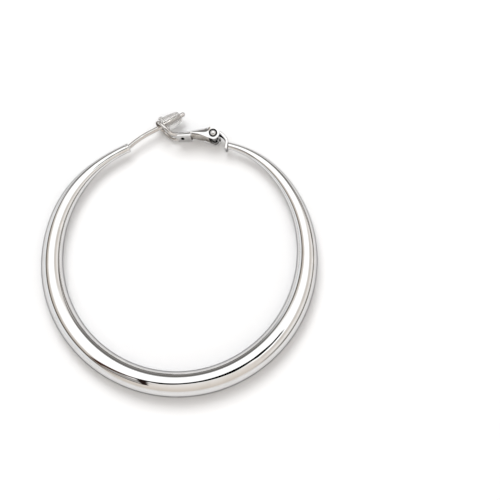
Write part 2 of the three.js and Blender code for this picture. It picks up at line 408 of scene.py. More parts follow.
def ease_edges(piece: bpy.types.Object, width: float, angle: float = 35, segments: int = 3) -> None:
    """Rounds the sharp edges of a piece.

    Args:
        piece: the piece.
        width: of the rounding.
        angle: how sharp an edge has to be, in degrees.
        segments: how many faces a rounding has.
    """
    limit = math.radians(angle)
    apply_modifier(
        piece, "BEVEL", width=width, segments=segments, limit_method="ANGLE", angle_limit=limit
    )


def cut_away(piece: bpy.types.Object, cutter: bpy.types.Object) -> None:
    """Cuts one piece by another, which is used up."""
    apply_modifier(piece, "BOOLEAN", operation="DIFFERENCE", object=cutter, solver="EXACT")
    bpy.data.objects.remove(cutter)


def shade(piece: bpy.types.Object, angle: float = 40) -> None:
    """Shades a piece smoothly except at edges sharper than an angle in degrees."""
    take_up(piece)
    bpy.ops.object.shade_smooth_by_angle(angle=math.radians(angle))


def fitted(
    piece: bpy.types.Object,
    body: Body,
    finish: bpy.types.Material,
    nodes: Sequence[str] = (),
) -> None:
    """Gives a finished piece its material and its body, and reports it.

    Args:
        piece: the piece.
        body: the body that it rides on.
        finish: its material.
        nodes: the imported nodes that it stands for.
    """
    piece.data.materials.clear()
    piece.data.materials.append(finish)
    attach(piece, body.value)
    if nodes:
        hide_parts(*nodes)
    triangles = sum(len(face.vertices) - 2 for face in piece.data.polygons)
    log.info("%s: %d triangles on %s", piece.name, triangles, body.value)


@dataclass(frozen=True)
class TubeRow:
    """A row of the tube's course.

    turn: degrees from the fattest place, positive towards +X. reach: share of the hoop's radius.
    girth: share of the fattest diameter.
    """

    turn: float
    reach: float
    girth: float


TUBE_COURSE = (
    TubeRow(-154.3, 0.914, 0.34),
    TubeRow(-146, 0.92, 0.37),
    TubeRow(-136, 0.93, 0.45),
    TubeRow(-120, 0.943, 0.645),
    TubeRow(-100, 0.953, 0.785),
    TubeRow(-75, 0.969, 0.9),
    TubeRow(-45, 0.986, 0.955),
    TubeRow(0, 1, 1),
    TubeRow(45, 0.982, 0.97),
    TubeRow(75, 0.962, 0.87),
    TubeRow(100, 0.948, 0.71),
    TubeRow(120, 0.94, 0.55),
    TubeRow(138, 0.933, 0.4),
    TubeRow(148, 0.92, 0.32),
    TubeRow(157, 0.9, 0.27),
)


@dataclass(frozen=True)
class Plan:
    """The main places of the earring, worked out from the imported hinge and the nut's way."""

    hinge: Vector
    post_ahead: Vector
    hoop_radius: float = 24.2 * MM
    tube_fattest: float = 4.66 * MM
    post_diameter: float = 0.86 * MM
    hinge_back: float = 2.36 * MM
    hinge_rise: float = 1.81 * MM
    clip_reach: float = 10.36 * MM
    clip_rise: float = 9.45
    tube_table: SmoothTable = field(
        default_factory=lambda: SmoothTable(
            [row.turn for row in TUBE_COURSE], [(row.reach, row.girth) for row in TUBE_COURSE]
        )
    )

    @property
    def centre(self) -> Vector:
        """The hoop's centre, from the hinge's place beside the tube's right end."""
        hinge_from_end = Vector((-self.hinge_back, self.hinge_rise, 0))
        return self.hinge - self.right_end_from_centre - hinge_from_end

    @property
    def right_end_from_centre(self) -> Vector:
        """The right end of the tube, from the hoop's centre."""
        row = TUBE_COURSE[-1]
        return heading(row.turn - 90) * self.hoop_radius * row.reach

    @property
    def crossing(self) -> Vector:
        """Where the post goes through the clip's loop."""
        return self.hinge + heading(180 - self.clip_rise) * self.clip_reach

    @property
    def post_outward(self) -> Vector:
        """Square to the straight post, level, away from the hoop."""
        return UP.cross(self.post_ahead)

    def tube_ring(self, turn: float) -> Ring:
        """Returns the tube's section.

        Args:
            turn: degrees from the fattest place, positive towards +X.

        Returns:
            The section.
        """
        reach, girth = self.tube_table.at(turn)
        middle = self.centre + heading(turn - 90) * self.hoop_radius * reach
        return Ring(middle, heading(turn), self.tube_fattest * girth / 2)


def plan_from_frame() -> Plan:
    """Reads the hinge and the nut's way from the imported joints.

    Returns:
        The plan that follows from them.
    """
    joints = {joint["name"]: joint for joint in frame["joints"]}
    return Plan(
        hinge=Vector(joints["clip_hinge"]["pos_m"]),
        post_ahead=Vector(joints["nut_slide"]["axis"]).normalized(),
    )


class Graph:
    """A node tree and short ways to fill it.

    Args:
        tree: the node tree, which is emptied.
    """

    def __init__(self, tree: bpy.types.NodeTree) -> None:
        """Empties the tree."""
        self.tree = tree
        tree.nodes.clear()

    def add(self, kind: str, values: dict | None = None, **settings: object) -> bpy.types.Node:
        """Adds a node.

        Args:
            kind: the node's type, without ShaderNode before it.
            values: what its inputs hold or are linked to, by name or number.
            **settings: its own settings.

        Returns:
            The node.
        """
        node = self.tree.nodes.new("ShaderNode" + kind)
        for key, value in settings.items():
            setattr(node, key, value)
        for key, value in (values or {}).items():
            self.put(node.inputs[key], value)
        return node

    def put(self, socket: bpy.types.NodeSocket, value: object) -> None:
        """Links an output to a socket, or sets its value.

        Args:
            socket: the socket.
            value: an output, or what the socket holds.
        """
        if isinstance(value, bpy.types.NodeSocket):
            self.tree.links.new(value, socket)
        else:
            socket.default_value = value

    def math(self, operation: str, first: object, second: object = 0.0) -> bpy.types.NodeSocket:
        """Adds a sum of two numbers and returns its result."""
        return self.add("Math", {0: first, 1: second}, operation=operation).outputs[0]

    def dot(self, first: object, second: object) -> bpy.types.NodeSocket:
        """Adds a dot product and returns its result."""
        return self.add("VectorMath", {0: first, 1: second}, operation="DOT_PRODUCT").outputs[1]

    def mix(self, share: object, first: object, second: object) -> bpy.types.NodeSocket:
        """Adds a mix of two colours and returns its result."""
        return self.add("Mix", {0: share, 6: first, 7: second}, data_type="RGBA").outputs[2]

    def ranged(
        self, value: object, low: object, high: object, start: float = 0.0, end: float = 1.0
    ) -> bpy.types.NodeSocket:
        """Adds an eased change from start to end as a value goes from low to high."""
        values = {0: value, 1: low, 2: high, 3: start, 4: end}
        return self.add("MapRange", values, interpolation_type="SMOOTHSTEP").outputs[0]

    def bump(
        self, mark: bpy.types.NodeSocket, height: float, strength: float
    ) -> bpy.types.NodeSocket:
        """Adds a bump from a mark and returns its normals."""
        values = {"Height": mark, "Distance": height, "Strength": strength}
        return self.add("Bump", values).outputs[0]

    def surface(self, values: dict[str, object]) -> None:
        """Adds the shader with its values, and the material's output."""
        shader = self.add("BsdfPrincipled", values)
        self.add("OutputMaterial", {"Surface": shader.outputs[0]})


def new_group(
    name: str, takes: dict[str, object], gives: Sequence[str]
) -> tuple[Graph, bpy.types.bpy_prop_collection, bpy.types.bpy_prop_collection]:
    """Makes a shader node group.

    Args:
        name: its name.
        takes: the default of each input; a number or a vector.
        gives: the names of its outputs, which are numbers.

    Returns:
        Its graph, the sockets of what it takes and those of what it gives.
    """
    group = bpy.data.node_groups.new(name, "ShaderNodeTree")
    for label, value in takes.items():
        kind = "NodeSocketFloat" if isinstance(value, float) else "NodeSocketVector"
        socket = group.interface.new_socket(name=label, in_out="INPUT", socket_type=kind)
        socket.default_value = value
    for label in gives:
        group.interface.new_socket(name=label, in_out="OUTPUT", socket_type="NodeSocketFloat")
    graph = Graph(group)
    taken = group.nodes.new("NodeGroupInput").outputs
    given = group.nodes.new("NodeGroupOutput").inputs
    return graph, taken, given


class Mark(Enum):
    """The handling marks that change a finish."""

    SMUDGE = "Smudge"
    SCRATCH = "Scratch"


class Effects:
    """The shader groups that several finishes share, each built once."""

    SMUDGE_CLOUD = {"Detail": 3.0, "Roughness": 0.55}
    SMUDGE_SPAN = (0.4, 0.66)
    SCRATCH_CLOUD = {"Detail": 2.0, "Distortion": 0.3}
    SCRATCH_SPAN = (0.6, 0.72)
    RUBBED_SPAN = {"Low": 0.51, "High": 0.56}

    def __init__(self) -> None:
        """Builds the groups."""
        self.handling = self.handling_marks()
        self.edges = self.worn_edges()

    def handling_marks(self) -> bpy.types.NodeTree:
        """Makes faint smudges and hair-fine scratches on the piece's own coordinates.

        Returns:
            The group.
        """
        takes = {"Smudge Scale": 400.0, "Scratch Scale": 9000.0, "Stretch": 14.0}
        graph, taken, given = new_group("handling_marks", takes, [mark.value for mark in Mark])
        place = graph.add("TexCoord").outputs["Object"]
        values = {"Vector": place, "Scale": taken["Smudge Scale"], **self.SMUDGE_CLOUD}
        smudge = graph.add("TexNoise", values)
        stretch = graph.add("CombineXYZ", {0: 1.0, 1: taken["Stretch"], 2: 1.0})
        drawn = graph.add("VectorMath", {0: place, 1: stretch.outputs[0]}, operation="MULTIPLY")
        values = {"Vector": drawn.outputs[0], "Scale": taken["Scratch Scale"], **self.SCRATCH_CLOUD}
        scratch = graph.add("TexNoise", values)
        graph.put(given["Smudge"], graph.ranged(smudge.outputs["Fac"], *self.SMUDGE_SPAN))
        graph.put(given["Scratch"], graph.ranged(scratch.outputs["Fac"], *self.SCRATCH_SPAN))
        return graph.tree

    def worn_edges(self) -> bpy.types.NodeTree:
        """Makes a mask that is 1 on edges rubbed by handling.

        Returns:
            The group.
        """
        graph, taken, given = new_group("worn_edges", self.RUBBED_SPAN, ["Mask"])
        shape = graph.add("NewGeometry")
        mask = graph.ranged(shape.outputs["Pointiness"], taken["Low"], taken["High"])
        graph.put(given["Mask"], mask)
        return graph.tree


def new_material(name: str) -> tuple[bpy.types.Material, Graph]:
    """Makes a material with an empty node tree.

    Args:
        name: its name.

    Returns:
        The material and its nodes.
    """
    material = bpy.data.materials.new(name)
    material.use_nodes = True
    return material, Graph(material.node_tree)


@dataclass(frozen=True)
class Finish:
    """A finish that faint handling marks change.

    clean and smudged: its colour off and on the smudges. rubbed: its colour on worn edges, if any.
    roughness: without and with the mark that dulls it. height and strength: of the bump of the mark
    that raises it, if any. The two scales and the stretch are those of the marks.
    """

    name: str
    clean: Colour
    smudged: Colour
    roughness: tuple[float, float]
    rubbed: Colour | None = None
    dulled_by: Mark = Mark.SMUDGE
    raised_by: Mark | None = Mark.SCRATCH
    height: float = 0.0
    strength: float = 0.0
    smudge_scale: float = 400.0
    scratch_scale: float = 9000.0
    stretch: float = 14.0

    def constants(self) -> dict[str, object]:
        """Returns what is the same all over, by the shader's socket."""
        return {}

    def material(self, effects: Effects) -> bpy.types.Material:
        """Builds the material.

        Args:
            effects: the shared shader groups.

        Returns:
            The material.
        """
        material, graph = new_material(self.name)
        scales = {
            "Smudge Scale": self.smudge_scale,
            "Scratch Scale": self.scratch_scale,
            "Stretch": self.stretch,
        }
        marks = graph.add("Group", scales, node_tree=effects.handling).outputs
        colour = graph.mix(marks["Smudge"], self.clean, self.smudged)
        if self.rubbed:
            edges = graph.add("Group", node_tree=effects.edges)
            colour = graph.mix(edges.outputs["Mask"], colour, self.rubbed)
        gloss = graph.ranged(marks[self.dulled_by.value], 0.0, 1.0, *self.roughness)
        values = {"Base Color": colour, "Roughness": gloss, **self.constants()}
        if self.raised_by:
            values["Normal"] = graph.bump(marks[self.raised_by.value], self.height, self.strength)
        graph.surface(values)
        return material


@dataclass(frozen=True)
class PolishedPlate(Finish):
    """Mirror-polished pale plating with faint marks; its dark tint at a glancing angle is painted
    shade on the edges, standing in for the shadowed table that they reflect.
    """

    name: str = "polished_plate"
    clean: Colour = (0.72, 0.717, 0.715, 1)
    smudged: Colour = (0.69, 0.686, 0.68, 1)
    rubbed: Colour | None = (0.77, 0.765, 0.757, 1)
    # Painted shade: this dark tint darkens the plating's edges at a glancing angle.
    glancing: Colour = (0.16, 0.16, 0.17, 1)
    roughness: tuple[float, float] = (0.008, 0.022)
    height: float = 0.1e-6
    strength: float = 0.4
    smudge_scale: float = 420.0

    def constants(self) -> dict[str, object]:
        """Returns what is the same all over, by the shader's socket."""
        return {"Metallic": 1.0, "Specular Tint": self.glancing}


@dataclass(frozen=True)
class PressedPlate(PolishedPlate):
    """The same plating on pressed strip, which is softer and stays pale at a glancing angle."""

    name: str = "pressed_plate"
    glancing: Colour = (0.75, 0.75, 0.76, 1)
    roughness: tuple[float, float] = (0.1, 0.15)


@dataclass(frozen=True)
class WirePlatePaintedShade(PolishedPlate):
    """The same plating on drawn wire, painted darker and a little warmer, with a dark brownish tint
    at a glancing angle: painted shade for the shadowed table that the thin wire reflects.
    """

    name: str = "wire_plate_painted_shade"
    # Painted shade: the darker, warmer colour and the dark brownish glancing tint stand in for the
    # shadowed table that the wire reflects.
    clean: Colour = (0.63, 0.61, 0.59, 1)
    smudged: Colour = (0.58, 0.555, 0.53, 1)
    glancing: Colour = (0.07, 0.055, 0.045, 1)


@dataclass(frozen=True)
class SpringSteel(Finish):
    """Rolled spring steel, satin and slightly warm."""

    name: str = "spring_steel"
    clean: Colour = (0.6, 0.57, 0.53, 1)
    smudged: Colour = (0.42, 0.39, 0.35, 1)
    roughness: tuple[float, float] = (0.2, 0.34)
    height: float = 1.2e-6
    strength: float = 0.5
    smudge_scale: float = 900.0
    scratch_scale: float = 5000.0
    stretch: float = 30.0

    def constants(self) -> dict[str, object]:
        """Returns what is the same all over, by the shader's socket."""
        return {"Metallic": 1.0}


@dataclass(frozen=True)
class ClearPlastic(Finish):
    """Clear moulded plastic, slightly milky, with soft flow marks."""

    name: str = "clear_plastic"
    clean: Colour = (0.83, 0.82, 0.805, 1)
    smudged: Colour = (0.7, 0.69, 0.675, 1)
    roughness: tuple[float, float] = (0.07, 0.12)
    raised_by: Mark | None = Mark.SMUDGE
    height: float = 0.3e-6
    strength: float = 0.3
    smudge_scale: float = 700.0
    stretch: float = 3.0
    bending: float = 1.47
    clearness: float = 0.82

    def constants(self) -> dict[str, object]:
        """Returns what is the same all over, by the shader's socket."""
        return {"IOR": self.bending, "Transmission Weight": self.clearness}


@dataclass(frozen=True)
class PaintedShadeRecess(Finish):
    """Near-black painted shade, with some tarnish, in a gap too narrow to polish."""

    name: str = "painted_shade_recess"
    clean: Colour = (0.004, 0.004, 0.004, 1)
    smudged: Colour = (0.02, 0.018, 0.016, 1)
    roughness: tuple[float, float] = (0.55, 0.4)
    dulled_by: Mark = Mark.SCRATCH
    raised_by: Mark | None = None
    smudge_scale: float = 3000.0
    gleam: float = 0.2

    def constants(self) -> dict[str, object]:
        """Returns what is the same all over, by the shader's socket."""
        return {"Specular IOR Level": self.gleam}


class Finishes:
    """The earring's materials, each built once."""

    def __init__(self) -> None:
        """Builds the materials."""
        effects = Effects()
        self.plate = PolishedPlate().material(effects)
        self.pressed = PressedPlate().material(effects)
        # Wire plating with painted shade: darker, warmer, and darker still at a glancing angle.
        self.drawn = WirePlatePaintedShade().material(effects)
        self.steel = SpringSteel().material(effects)
        self.plastic = ClearPlastic().material(effects)
        # Painted shade: a near-black finish for the rivet's rings and the small hole's wall.
        self.dark = PaintedShadeRecess().material(effects)


@dataclass(frozen=True)
class PaleTable:
    """A matt white table top with the faintest grain."""

    name: str = "pale_table"
    pale: Colour = (0.862, 0.87, 0.882, 1)
    paler: Colour = (0.874, 0.882, 0.894, 1)
    grain: float = 900.0
    grain_detail: float = 4.0
    grain_height: float = 2e-6
    grain_strength: float = 0.1
    roughness: float = 0.9
    gleam: float = 0.1

    def material(self) -> bpy.types.Material:
        """Builds the material.

        Returns:
            The material.
        """
        material, graph = new_material(self.name)
        place = graph.add("TexCoord").outputs["Object"]
        values = {"Vector": place, "Scale": self.grain, "Detail": self.grain_detail}
        grain = graph.add("TexNoise", values).outputs["Fac"]
        values = {
            "Base Color": graph.mix(grain, self.pale, self.paler),
            "Roughness": self.roughness,
            "Specular IOR Level": self.gleam,
            "Normal": graph.bump(grain, self.grain_height, self.grain_strength),
        }
        graph.surface(values)
        return material


@dataclass(frozen=True)
class LugRow:
    """A point of the lug's middle line.

    side: share of the hinge's distance back from the tube's end. rise: share of its rise.
    """

    side: float
    rise: float


LUG_FROM_HINGE = (LugRow(0.445, 0.21),)
LUG_FROM_END = (
    LugRow(-0.2, 0.84),
    LugRow(0.025, 0.343),
    LugRow(-0.01, -0.07),
    LugRow(-0.03, -0.514),
)


@dataclass(frozen=True)
class CutRow:
    """A row of a small cut round the post.

    along: share of the cut's pitch. deep: share of its depth; less than 0 where it stands proud.
    """

    along: float
    deep: float


THREAD = (CutRow(0, 0), CutRow(0.25, 1), CutRow(0.5, 1), CutRow(0.75, 0))
GROOVE = (CutRow(-1, 0), CutRow(-0.7, 1), CutRow(0, 1), CutRow(0.3, -0.172), CutRow(0.6, 0))


@dataclass
class Hoop:
    """The graduated tube with its end cup, ear post and hinge lug."""

    plan: Plan
    tube_sides: int = 64
    ring_step: float = 1.25
    cup_lip: float = 0.06 * MM
    cup_length: float = 0.5 * MM
    cup_edge: float = 0.18 * MM
    post_rise: float = 43
    post_first_pull: float = 0.5
    post_last_pull: float = 0.24
    post_past_loop: float = 5.55 * MM
    post_sides: int = 32
    post_rings: int = 37
    tip_turn: float = 86
    tip_steps: int = 9
    groove_depth: float = 0.1 * MM
    groove_width: float = 0.26 * MM
    groove_from_tip: float = 1.05 * MM
    thread_pitch: float = 0.3 * MM
    thread_depth: float = 0.012 * MM
    thread_start: float = 1.5 * MM
    threads: int = 5
    lug_thickness: float = 0.5 * MM
    lug_width: float = 2.3 * MM
    lug_edge: float = 0.2 * MM
    lug_edge_steps: int = 5
    lug_sections: int = 34
    knuckle_radius: float = 0.72 * MM
    knuckle_edge: float = 0.1 * MM
    knuckle_edge_steps: int = 4
    knuckle_sides: int = 48

    def tube(self) -> bpy.types.Object:
        """Makes the tube from its left end to its right end.

        Returns:
            The piece.
        """
        first, last = TUBE_COURSE[0].turn, TUBE_COURSE[-1].turn
        count = math.ceil((last - first) / self.ring_step)
        turns = [first + (last - first) * i / count for i in range(count + 1)]
        piece = swept("hoop_tube", [self.plan.tube_ring(turn) for turn in turns], self.tube_sides)
        shade(piece)
        return piece

    def cup(self) -> bpy.types.Object:
        """Makes the rounded cup that closes the tube's left end.

        Returns:
            The piece.
        """
        end = self.plan.tube_ring(TUBE_COURSE[0].turn)
        radius = end.size + self.cup_lip
        edge = self.cup_edge
        profile = [
            (radius * DISC_SHARE, -edge),
            *quarter_round(radius - edge, 0, edge, -90, 0),
            (radius, self.cup_length - edge),
            (end.size - self.cup_lip, self.cup_length),
        ]
        piece = swept("end_cup", turned_rings(end.middle, end.ahead, profile), self.tube_sides)
        shade(piece)
        return piece

    def cut(
        self, rows: Sequence[CutRow], start: float, pitch: float, depth: float
    ) -> list[tuple[float, float]]:
        """Returns the profile of a small cut round the post.

        Args:
            rows: its rows.
            start: where it starts along the straight post.
            pitch: its length along the post.
            depth: how deep it goes.

        Returns:
            Pairs of radius and distance along the post.
        """
        radius = self.plan.post_diameter / 2
        return [(radius - row.deep * depth, start + row.along * pitch) for row in rows]

    def post(self) -> bpy.types.Object:
        """Makes the ear post: a bend from the cup to the loop, then straight to its round tip.

        Returns:
            The piece.
        """
        radius = self.plan.post_diameter / 2
        ahead = self.plan.post_ahead
        start = self.plan.tube_ring(TUBE_COURSE[0].turn).middle
        crossing = self.plan.crossing
        chord = (crossing - start).length
        first_pull = start + heading(self.post_rise) * chord * self.post_first_pull
        last_pull = crossing - ahead * chord * self.post_last_pull
        rings = rings_along(Bend(start, first_pull, last_pull, crossing), radius, self.post_rings)
        profile = []
        for i in range(self.threads):
            at = self.thread_start + i * self.thread_pitch
            profile += self.cut(THREAD, at, self.thread_pitch, self.thread_depth)
        groove = self.post_past_loop - self.groove_from_tip - self.groove_width
        profile += self.cut(GROOVE, groove, self.groove_width, self.groove_depth)
        tip = self.post_past_loop - radius
        profile += quarter_round(0, tip, radius, 0, self.tip_turn, self.tip_steps)
        rings += turned_rings(crossing, ahead, profile)
        piece = swept("ear_post", rings, self.post_sides)
        shade(piece, WIRE_SHADING)
        return piece

    def lug(self) -> bpy.types.Object:
        """Makes the strip that runs from the hinge's knuckle to the plate over the tube's end.

        Returns:
            The piece.
        """
        plan = self.plan
        right = plan.tube_ring(TUBE_COURSE[-1].turn).middle
        knuckle_top = self.knuckle_radius - self.lug_thickness / 2
        points = [plan.hinge + Vector((0, knuckle_top, 0))]
        for start, rows in ((plan.hinge, LUG_FROM_HINGE), (right, LUG_FROM_END)):
            for row in rows:
                off = Vector((row.side * plan.hinge_back, row.rise * plan.hinge_rise, 0))
                points.append(start + off)
        piece = flat_swept(
            "hinge_lug", Course(points), self.lug_thickness, self.lug_width, self.lug_sections
        )
        ease_edges(piece, self.lug_edge, segments=self.lug_edge_steps)
        shade(piece)
        return piece

    def knuckle(self) -> bpy.types.Object:
        """Makes the round knuckle between the clip's ears.

        Returns:
            The piece.
        """
        half = self.lug_width / 2
        edge = self.knuckle_edge
        steps = self.knuckle_edge_steps
        body = self.knuckle_radius - edge
        profile = [
            (body * DISC_SHARE, -half),
            *quarter_round(body, edge - half, edge, -90, 0, steps),
            *quarter_round(body, half - edge, edge, 0, 90, steps),
            (body * DISC_SHARE, half),
        ]
        rings = turned_rings(self.plan.hinge, UP, profile)
        piece = swept("hinge_knuckle", rings, self.knuckle_sides)
        shade(piece)
        return piece

    def build(self, finishes: Finishes) -> None:
        """Builds and dresses the hoop's pieces.

        Args:
            finishes: the earring's materials.
        """
        fitted(self.tube(), Body.HOOP, finishes.plate, ["hoop"])
        fitted(self.post(), Body.HOOP, finishes.drawn)
        for piece in (self.cup(), self.lug(), self.knuckle()):
            fitted(piece, Body.HOOP, finishes.plate)


@dataclass(frozen=True)
class StripRow:
    """A row of the clip strip's side outline, from the hinge to the loop.

    along: share of the strip's length. top and bottom: shares of the ear's radius.
    """

    along: float
    top: float
    bottom: float


STRIP_OUTLINE = (
    StripRow(0, 1, -1),
    StripRow(0.15, 0.975, -0.69),
    StripRow(0.41, 0.85, -0.1),
    StripRow(0.62, 0.6, 0.1),
    StripRow(1, 0.29, -0.09),
)


@dataclass(frozen=True)
class WallRow:
    """A row of the strip's side wall, from its lower rim to its shoulder.

    up: share of the wall's height. lean and inset: shares of the wall's lean and shoulder inset.
    """

    up: float
    lean: float
    inset: float


WALL_ROWS = (
    WallRow(0, 0, 0),
    WallRow(0.2, 0, 0),
    WallRow(0.5, 0.3, 0.02),
    WallRow(0.76, 0.72, 0.14),
    WallRow(0.93, 1, 0.5),
    WallRow(1, 1, 1),
)


@dataclass
class Clip:
    """The stamped channel with its ears, folded plate, leaf spring and wire loop."""

    plan: Plan
    length: float = 6.6 * MM
    width: float = 4.2 * MM
    wall: float = 0.3 * MM
    ear_radius: float = 1.16 * MM
    ear_first_turn: float = 10
    ear_steps: int = 9
    cover_end: float = 1.15 * MM
    shoulder_inset: float = 0.32 * MM
    inset_span: tuple[float, float] = (0.12, 0.3)
    wall_lean: float = 0.42 * MM
    lean_span: tuple[float, float] = (0.05, 0.22)
    rim_round: float = 0.08 * MM
    sections: int = 26
    keeper_length: float = 2.4 * MM
    keeper_drop: float = 0.4 * MM
    keeper_step: float = 0.02 * MM
    hole_length: float = 0.7 * MM
    hole_width: float = 1.54 * MM
    hole_from_loop: float = 0.85 * MM
    hole_sides: int = 40
    loop_wire: float = 0.66 * MM
    loop_width: float = 4.78 * MM
    loop_root: float = 0.93
    loop_exit: float = 1.04
    elbow_along: float = 1.17
    elbow_rise: float = 0.14 * MM
    loop_turn: float = 1.3 * MM
    loop_turn_end: int = 80
    loop_turn_step: int = 20
    loop_post_gap: float = 0.06 * MM
    loop_ahead: float = 0.3 * MM
    loop_sections: int = 110
    wire_sides: int = 28
    neck_width: float = 3.7 * MM
    solder_share: float = 0.62
    solder_turn: float = 84
    solder_steps: int = 16
    leaf_thickness: float = 0.12 * MM
    leaf_width: float = 2.9 * MM
    leaf_lift: float = 0.06 * MM
    leaf_root: float = 0.85 * MM
    leaf_sag: float = 0.52 * MM
    leaf_bow: float = 0.3
    leaf_end: float = 0.9 * MM
    leaf_edge: float = 0.03 * MM
    leaf_edge_steps: int = 2
    leaf_sections: int = 30
    outline: SmoothTable = field(
        default_factory=lambda: SmoothTable(
            [row.along for row in STRIP_OUTLINE], [(row.top, row.bottom) for row in STRIP_OUTLINE]
        )
    )

    def on_strip(self, along: float, height: float, side: float = 0.0) -> Vector:
        """Returns a place on the strip.

        Args:
            along: share of the strip's length from the hinge.
            height: distance towards +Y from the hinge's level.
            side: distance along Z from the middle.

        Returns:
            The place.
        """
        return self.plan.hinge + Vector((-along * self.length, height, side))

    @property
    def keeper_share(self) -> float:
        """Where the folded plate starts, as a share of the strip's length."""
        return 1 - self.keeper_length / self.length

    @property
    def hole_middle(self) -> Vector:
        """The middle of the small hole, on the folded plate's outer face."""
        return self.on_strip(1 - self.hole_from_loop / self.length, -self.keeper_drop)

    @property
    def neck_height(self) -> float:
        """How high above the hinge's level the wire enters the strip."""
        return (self.heights(1)[0] - self.keeper_drop) / 2

    @property
    def neck_half(self) -> float:
        """How far from the middle each end of the wire enters the strip."""
        return (self.neck_width - self.loop_wire) / 2

    def share_at(self, place: Vector) -> float:
        """Returns how far along the strip a place is, as a share of its length."""
        return (self.plan.hinge.x - place.x) / self.length

    def heights(self, along: float) -> tuple[float, float]:
        """Returns the top and the bottom of the strip's side.

        Args:
            along: share of the strip's length from the hinge; less than 0 past the hinge.

        Returns:
            Their heights from the hinge's level.
        """
        radius = self.ear_radius
        if along < 0:
            rise = math.sqrt(radius**2 - (along * self.length) ** 2)
            return rise, -rise
        top, bottom = self.outline.at(along) * radius
        return top, -self.keeper_drop if along >= self.keeper_share else bottom

    def column(self, along: float) -> list[Vector]:
        """Returns the upper side wall's section, from its rim to its shoulder.

        Args:
            along: share of the strip's length from the hinge; less than 0 past the hinge.

        Returns:
            One point for each wall row.
        """
        top, bottom = self.heights(along)
        half = self.width / 2
        lean = self.wall_lean * eased(along, *self.lean_span)
        inset = self.shoulder_inset * eased(along, *self.inset_span)
        points = []
        for row in WALL_ROWS:
            out = half - lean * row.lean - inset * row.inset
            points.append(self.on_strip(along, bottom + (top - bottom) * row.up, out))
        return points

    def stations(self) -> list[float]:
        """Returns the shares of the strip's length where its sections stand, ear first.

        Returns:
            The shares, rising.
        """
        step = self.keeper_step / self.length
        ear = self.ear_radius / self.length
        first = self.ear_first_turn
        turns = [first + (90 - first) * i / self.ear_steps for i in range(self.ear_steps + 1)]
        round_end = [-ear * math.cos(math.radians(turn)) for turn in turns]
        even = [(i + 1) / self.sections for i in range(self.sections)]
        cover = self.cover_end / self.length
        kept = [share for share in even if abs(share - self.keeper_share) > 2 * step]
        return sorted({*round_end, *kept, cover, self.keeper_share - step, self.keeper_share})

    def channel(self) -> bpy.types.Object:
        """Makes the arched channel, its two round ears and the plate folded under its free end.

        Returns:
            The piece.
        """
        stations = self.stations()
        first = self.column(stations[0])
        deselect()
        bpy.ops.mesh.primitive_circle_add(vertices=len(first), radius=self.width / 2)
        piece = named("clip_channel")
        with editing(piece):
            self.open_section(piece, first)
            for near, far in pairwise(stations):
                self.draw_section(piece, near, far)
            self.mirror_and_close(piece)
        self.face_outwards(piece)
        apply_modifier(piece, "SOLIDIFY", thickness=self.wall, offset=-1, use_even_offset=True)
        ease_edges(piece, self.rim_round, angle=50)
        cut_away(piece, self.hole_cutter())
        shade(piece, angle=30)
        return piece

    def open_section(self, piece: bpy.types.Object, places: Sequence[Vector]) -> None:
        """Opens a circle in edit mode and lays its points at the first section's places.

        Args:
            piece: the circle.
            places: where its points go.
        """
        work = bmesh.from_edit_mesh(piece.data)
        work.verts.ensure_lookup_table()
        for vertex, place in zip(work.verts, places):
            vertex.co = place
        ends = {0, len(places) - 1}
        for edge in work.edges:
            edge.select_set({vertex.index for vertex in edge.verts} == ends)
        bmesh.update_edit_mesh(piece.data)
        bpy.ops.mesh.select_mode(type="EDGE")
        bpy.ops.mesh.delete(type="EDGE")
        bpy.ops.mesh.select_all(action="SELECT")

    def draw_section(self, piece: bpy.types.Object, near: float, far: float) -> None:
        """Extrudes the selected section to the next station and shapes it there.

        Args:
            piece: the side wall in edit mode.
            near: where the section stands, as a share of the strip's length.
            far: where it goes.
        """
        way = self.on_strip(far, 0) - self.on_strip(near, 0)
        bpy.ops.mesh.extrude_edges_move(TRANSFORM_OT_translate={"value": way})
        work = bmesh.from_edit_mesh(piece.data)
        drawn = [vertex for vertex in work.verts if vertex.select]
        for vertex, place in zip(drawn, self.column(far)):
            vertex.co = place
        bmesh.update_edit_mesh(piece.data)

    def mirror_and_close(self, piece: bpy.types.Object) -> None:
        """Copies the side wall to the other side, and adds the roof, the plate and the end.

        Args:
            piece: the side wall in edit mode.
        """
        bpy.ops.mesh.select_all(action="SELECT")
        bpy.ops.mesh.duplicate()
        bpy.ops.transform.resize(value=(1, 1, -1), center_override=self.plan.hinge)
        self.bridge_between(piece, self.is_top)
        self.bridge_between(piece, self.is_folded)
        self.close_free_end(piece)
        bpy.ops.mesh.select_all(action="SELECT")
        bpy.ops.mesh.remove_doubles(threshold=TOUCHING)
        bpy.ops.mesh.normals_make_consistent(inside=False)

    def is_top(self, place: Vector) -> bool:
        """Says whether a place is on the shoulder line, where the roof is.

        Args:
            place: the place.

        Returns:
            Whether it is.
        """
        along = self.share_at(place)
        if along < self.cover_end / self.length - NEAR:
            return False
        return abs(place.y - self.plan.hinge.y - self.heights(along)[0]) < TOUCHING

    def is_folded(self, place: Vector) -> bool:
        """Says whether a place is on the rims that the folded plate joins."""
        low = self.plan.hinge.y - self.keeper_drop
        return self.share_at(place) > self.keeper_share - NEAR and abs(place.y - low) < TOUCHING

    def bridge_between(self, piece: bpy.types.Object, test: Callable[[Vector], bool]) -> None:
        """Bridges the edges along the strip, one row on each side, whose ends pass a test."""
        select_edges(piece, lambda a, b: abs(a.x - b.x) > TOUCHING and test(a) and test(b))
        bpy.ops.mesh.bridge_edge_loops()

